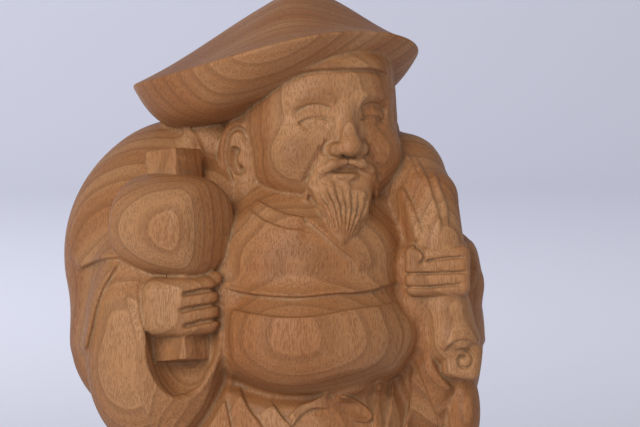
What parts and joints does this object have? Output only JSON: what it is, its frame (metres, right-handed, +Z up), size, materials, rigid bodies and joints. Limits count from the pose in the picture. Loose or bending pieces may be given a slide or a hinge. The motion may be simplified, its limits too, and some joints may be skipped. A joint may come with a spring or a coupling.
{
  "type": "daikoku statue",
  "caption": "Carved wooden lucky god in a wide cap, with mallet and great sack, standing on rice bales on a low plinth.",
  "frame": {"origin": "on the flat underside of the plinth, below the middle of the statue's bounding box", "axes": "+Z up, the body faces -Y, +X to the statue's own left"},
  "size_m": [0.1612, 0.122, 0.303],
  "materials": {
    "carved_wood": "bare carved wood, faint satin"
  },
  "bodies": {
    "root": {"statue": "carved_wood"}
  },
  "joints": []
}
